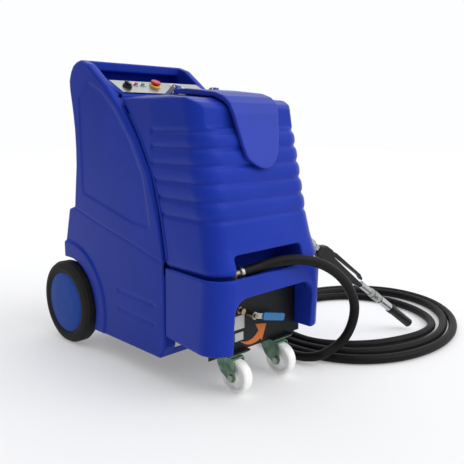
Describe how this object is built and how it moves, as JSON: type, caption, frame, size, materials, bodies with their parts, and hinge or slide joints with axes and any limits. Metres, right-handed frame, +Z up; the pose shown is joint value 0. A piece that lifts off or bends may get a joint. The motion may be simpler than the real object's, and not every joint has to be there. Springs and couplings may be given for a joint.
{
  "type": "carpet cleaner machine",
  "caption": "Wheeled steam carpet cleaner with a blue moulded body, lidded water tank, drain lever, swivel casters and a long coiled hose ending in a trigger gun.",
  "frame": {"origin": "on the floor, on the machine's mid plane, under the middle of the machine's length", "axes": "+Z up, +X to the machine's right as seen by someone facing it from behind, -Y towards the casters, the front of the machine; the hose lies on the +X side"},
  "size_m": [1.3805, 1.1117, 0.95],
  "materials": {
    "shell_blue": "satin rotomoulded",
    "lid_blue": "satin",
    "wheel_blue": "satin",
    "frame_black": "semi-gloss black",
    "steel": "brushed",
    "zinc": "zinc plated",
    "zinc_green": "green passivated",
    "brass": "machined",
    "nylon": "natural nylon",
    "tyre": "ribbed rubber",
    "hose_rubber": "matt",
    "seal_rubber": "matt",
    "black_plastic": "textured",
    "blue_vinyl": "dipped",
    "red_plastic": "gloss",
    "yellow_plastic": "satin",
    "green_plastic": "gloss",
    "orange_film": "printed film",
    "white_film": "printed film",
    "chrome": "polished",
    "clear_plastic": "clear",
    "motor_grey": "satin",
    "silver": "turned"
  },
  "bodies": {
    "machine": {"base_shell": "shell_blue", "boiler_vessel": "steel", "button_bezels": "chrome", "caster_plates": "zinc_green", "chassis_frame": "frame_black", "control_panel": "steel", "direction_arrow": "orange_film", "drain_valve_body": "brass", "e_stop_collar": "yellow_plastic", "front_panel": "frame_black", "front_skirt": "shell_blue", "gauge_case": "chrome", "gauge_lens": "clear_plastic", "gun_body": "black_plastic", "gun_inlet": "zinc", "heater_flange": "steel", "hose_coil": "hose_rubber", "hose_ferrule": "silver", "hose_lead": "hose_rubber", "hose_outlet_elbow": "brass", "hose_tail": "hose_rubber", "label_plates": "white_film", "lance_ferrule": "silver", "lance_tube": "steel", "lid_hinges": "zinc", "lock_nut": "zinc", "pipework": "brass", "power_inlet": "black_plastic", "pump_head": "brass", "pump_motor": "motor_grey", "rear_axle": "steel", "rear_shell": "shell_blue", "relief_fitting": "brass", "service_door": "frame_black", "spray_nozzle": "black_plastic", "tank": "shell_blue", "tank_strainer": "steel"},
    "lid": {"lid": "lid_blue", "lid_seal": "seal_rubber"},
    "drain_lever": {"drain_valve_lever": "zinc", "lever_sleeve": "blue_vinyl"},
    "e_stop": {"e_stop_button": "red_plastic"},
    "start": {"start_button": "green_plastic"},
    "stop": {"stop_button": "red_plastic"},
    "knob": {"mode_knob": "black_plastic"},
    "needle": {"gauge_needle": "black_plastic"},
    "trigger": {"gun_trigger": "black_plastic"},
    "shaft": {"pump_shaft": "steel"},
    "rear_wheel_left": {"tyre_left": "tyre", "wheel_hub_left": "wheel_blue", "hub_disc_left": "wheel_blue"},
    "caster_swivel_left": {"caster_fork_left": "zinc_green", "caster_bolt_left": "zinc"},
    "caster_roller_left": {"caster_wheel_left": "nylon"},
    "rear_wheel_right": {"tyre_right": "tyre", "wheel_hub_right": "wheel_blue", "hub_disc_right": "wheel_blue"},
    "caster_swivel_right": {"caster_fork_right": "zinc_green", "caster_bolt_right": "zinc"},
    "caster_roller_right": {"caster_wheel_right": "nylon"}
  },
  "joints": [
    {"name": "lid_hinge", "type": "hinge", "parent": "machine", "child": "lid", "pos_m": [0, -0.118, 0.857], "axis": [-1, 0, 0], "range_deg": [0, 105]},
    {"name": "drain_lever_turn", "type": "hinge", "parent": "machine", "child": "drain_lever", "pos_m": [-0.043, -0.4085, 0.22], "axis": [0, 1, 0], "range_deg": [0, 90]},
    {"name": "e_stop_press", "type": "slide", "parent": "machine", "child": "e_stop", "axis": [0, 0.454, -0.891], "range_m": [0, 0.004]},
    {"name": "start_press", "type": "slide", "parent": "machine", "child": "start", "axis": [0, 0.454, -0.891], "range_m": [0, 0.0025], "stiffness_N_per_m": 600},
    {"name": "stop_press", "type": "slide", "parent": "machine", "child": "stop", "axis": [0, 0.454, -0.891], "range_m": [0, 0.0025], "stiffness_N_per_m": 600},
    {"name": "mode_knob_turn", "type": "hinge", "parent": "machine", "child": "knob", "pos_m": [-0.136, 0.04359, 0.86972], "axis": [0, -0.454, 0.891], "range_deg": [-90, 90]},
    {"name": "gauge_needle_turn", "type": "hinge", "parent": "machine", "child": "needle", "pos_m": [0.064, 0.0548, 0.86533], "axis": [0, 0.454, -0.891], "range_deg": [0, 270], "stiffness_Nm_per_rad": 0.0005},
    {"name": "trigger_squeeze", "type": "hinge", "parent": "machine", "child": "trigger", "pos_m": [0.3938, -0.33475, 0.32636], "axis": [0.3183, 0.948, 0], "range_deg": [0, 3], "stiffness_Nm_per_rad": 8, "springref_deg": -2.86},
    {"name": "pump_shaft_spin", "type": "hinge", "parent": "machine", "child": "shaft", "pos_m": [-0.085, -0.1, 0.206], "axis": [0, 1, 0], "continuous": true},
    {"name": "rear_wheel_left_spin", "type": "hinge", "parent": "machine", "child": "rear_wheel_left", "pos_m": [-0.21, 0.3155, 0.143], "axis": [1, 0, 0], "continuous": true},
    {"name": "caster_left_swivel", "type": "hinge", "parent": "machine", "child": "caster_swivel_left", "pos_m": [-0.094, -0.359, 0.104], "axis": [0, 0, 1], "continuous": true},
    {"name": "caster_left_roll", "type": "hinge", "parent": "caster_swivel_left", "child": "caster_roller_left", "pos_m": [-0.094, -0.389, 0.05], "axis": [1, 0, 0], "continuous": true},
    {"name": "rear_wheel_right_spin", "type": "hinge", "parent": "machine", "child": "rear_wheel_right", "pos_m": [0.21, 0.3155, 0.143], "axis": [1, 0, 0], "continuous": true},
    {"name": "caster_right_swivel", "type": "hinge", "parent": "machine", "child": "caster_swivel_right", "pos_m": [0.094, -0.359, 0.104], "axis": [0, 0, 1], "continuous": true},
    {"name": "caster_right_roll", "type": "hinge", "parent": "caster_swivel_right", "child": "caster_roller_right", "pos_m": [0.094, -0.389, 0.05], "axis": [1, 0, 0], "continuous": true}
  ]
}
